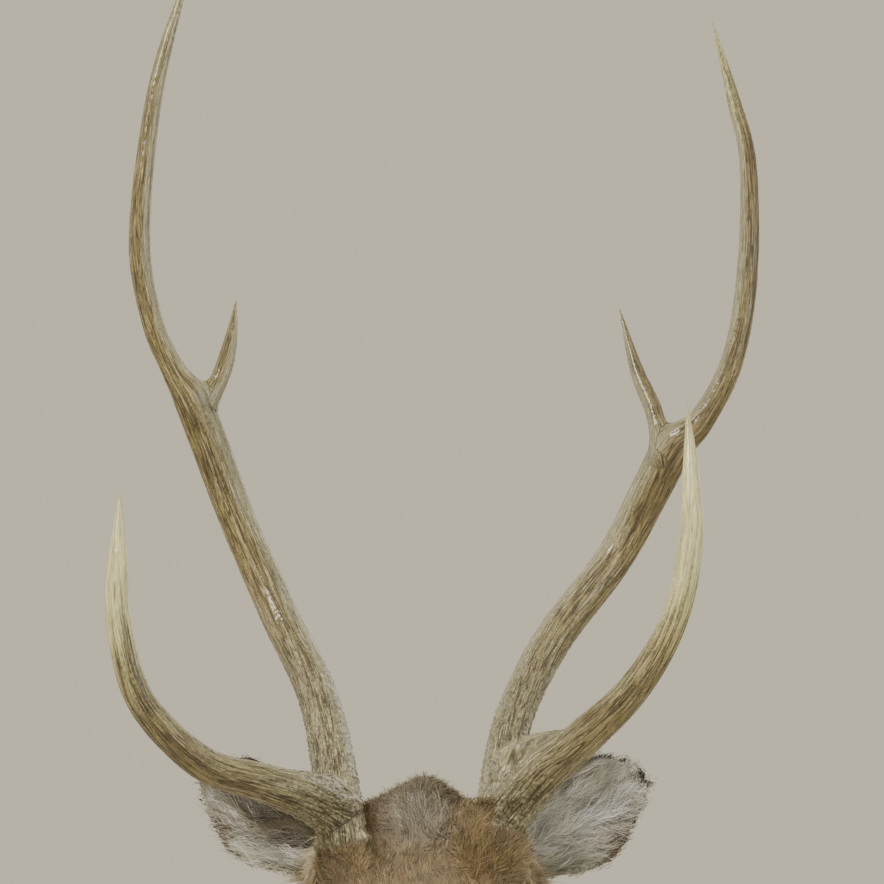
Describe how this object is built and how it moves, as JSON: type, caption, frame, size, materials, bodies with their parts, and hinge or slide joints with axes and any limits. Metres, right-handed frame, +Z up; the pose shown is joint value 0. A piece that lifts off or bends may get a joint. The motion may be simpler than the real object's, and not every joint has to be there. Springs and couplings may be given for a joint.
{
  "type": "axis deer shoulder mount",
  "caption": "Axis deer (chital) stag shoulder mount: head, ears, neck and shoulders on a backboard, with tall lyre-shaped antlers, hung on a wall.",
  "frame": {"origin": "middle of the backboard's back face, on the wall", "axes": "+Y into the wall, -Y the way the animal looks, +X the animal's left, +Z up"},
  "size_m": [0.4816, 0.5058, 1.4652],
  "materials": {
    "coat": "short deer hair over tanned skin, fawn with rows of white spots, white throat and inner ears",
    "nose": "black, finely pebbled, half gloss",
    "eye": "dark brown glass eye with a wide oval pupil",
    "antler": "bare antler bone, grooved and pearled, grey-brown, the tines rubbed to ivory",
    "board": "plywood, sanded and oiled",
    "hanger": "brass-toned zinc plate"
  },
  "bodies": {
    "root": {"board": "board", "hanger": "hanger", "shoulders": "coat", "neck": "coat", "head": "coat", "nose": "nose", "eye_right": "eye", "eye_left": "eye", "ear_right": "coat", "ear_left": "coat", "antler_right_beam": "antler", "antler_right_upper_beam": "antler", "antler_right_inner_tine": "antler", "antler_right_brow_tine": "antler", "antler_left_beam": "antler", "antler_left_upper_beam": "antler", "antler_left_inner_tine": "antler", "antler_left_brow_tine": "antler"}
  },
  "joints": []
}
